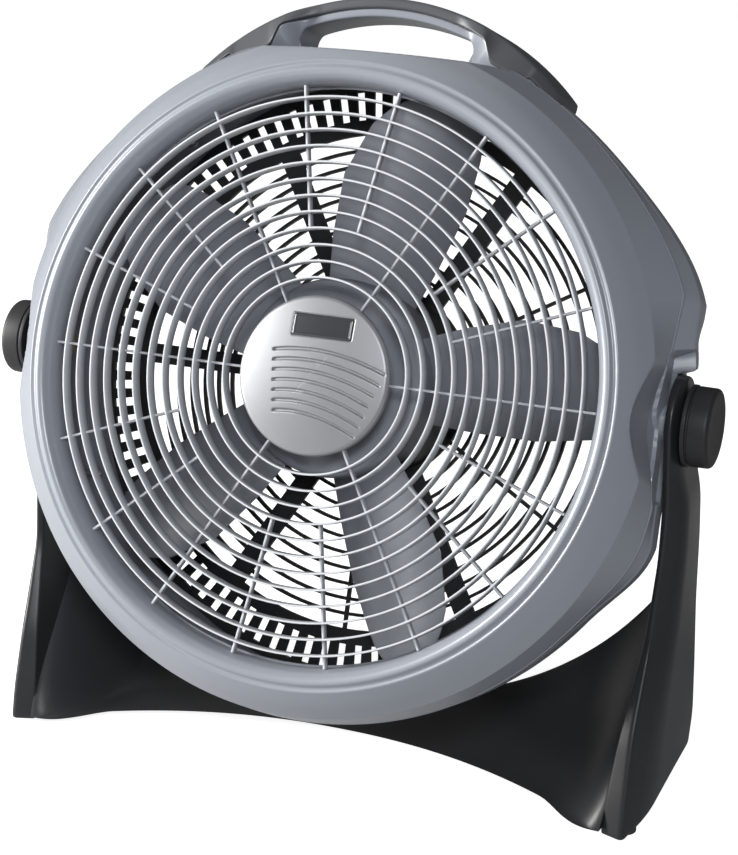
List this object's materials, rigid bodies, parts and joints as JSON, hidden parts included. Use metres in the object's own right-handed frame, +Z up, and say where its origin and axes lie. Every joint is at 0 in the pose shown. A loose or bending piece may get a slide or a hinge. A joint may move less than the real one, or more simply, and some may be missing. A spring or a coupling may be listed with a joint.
{
  "type": "pivoting floor fan",
  "caption": "Round floor fan head with ring grille, bladed rotor, motor, speed dial and carrying handle, tilting between two moulded legs and clamped by side knobs.",
  "frame": {"origin": "on the floor, straight below the tilt axis, midway between the legs", "axes": "+Z up, +X to the right seen from the front, air leaves towards -Y; the head rests leaning back 20 degrees"},
  "size_m": [0.5808, 0.2986, 0.58],
  "materials": {
    "housing_gray": "semi-gloss moulded plastic",
    "cap_silver": "satin silver paint",
    "plate_dark": "blank dark plate",
    "grip_dark": "fine-grained soft grip",
    "stand_black": "semi-gloss moulded plastic",
    "motor_black": "fine-grained moulded plastic",
    "knob_black": "satin moulded plastic",
    "zinc_steel": "zinc-plated",
    "core_steel": "laminated steel",
    "winding_copper": "enamelled copper wire",
    "bearing_bronze": "sintered bronze or brass",
    "bracket_alloy": "die-cast",
    "pad_rubber": "soft rubber",
    "bush_nylon": "natural nylon"
  },
  "bodies": {
    "stand": {"left_leg": "stand_black", "right_leg": "stand_black", "cross_panel": "stand_black", "panel_screws": "zinc_steel", "foot_pads": "pad_rubber", "pivot_bushes": "bush_nylon", "friction_washers": "pad_rubber"},
    "head": {"front_shroud": "housing_gray", "front_grille": "housing_gray", "hub_cap": "cap_silver", "cap_plate": "plate_dark", "rear_housing": "housing_gray", "rear_grille": "motor_black", "handle_grip": "grip_dark", "stud_inserts": "bearing_bronze", "shroud_screws": "zinc_steel", "rear_grille_screws": "zinc_steel", "motor_cup": "motor_black", "stator_core": "core_steel", "stator_coils": "winding_copper", "front_bracket": "bracket_alloy", "rear_bracket": "bracket_alloy", "motor_bearings": "bearing_bronze", "bracket_screws": "zinc_steel", "control_cover": "motor_black", "cover_screws": "zinc_steel", "speed_switch": "motor_black", "run_capacitor": "motor_black", "cord_gland": "motor_black"},
    "rotor": {"motor_shaft": "zinc_steel", "rotor_core": "core_steel", "fan_blade": "housing_gray", "blade_nut": "motor_black"},
    "speed_dial": {"speed_knob": "knob_black"},
    "left_clamp": {"left_tilt_knob": "knob_black", "left_knob_stud": "zinc_steel"},
    "right_clamp": {"right_tilt_knob": "knob_black", "right_knob_stud": "zinc_steel"}
  },
  "joints": [
    {"name": "head_tilt", "type": "hinge", "parent": "stand", "child": "head", "pos_m": [0, 0, 0.3], "axis": [-1, 0, 0], "range_deg": [-20, 70]},
    {"name": "fan_spin", "type": "hinge", "parent": "head", "child": "rotor", "pos_m": [0, 0, 0.3], "axis": [0, -0.9397, 0.342], "continuous": true},
    {"name": "speed_turn", "type": "hinge", "parent": "head", "child": "speed_dial", "pos_m": [0, 0, 0.3], "axis": [0, 0.9397, -0.342], "range_deg": [0, 180]},
    {"name": "left_clamp_turn", "type": "hinge", "parent": "head", "child": "left_clamp", "pos_m": [-0.28, 0, 0.3], "axis": [-1, 0, 0], "range_deg": [0, 180]},
    {"name": "right_clamp_turn", "type": "hinge", "parent": "head", "child": "right_clamp", "pos_m": [0.28, 0, 0.3], "axis": [1, 0, 0], "range_deg": [0, 180]}
  ]
}
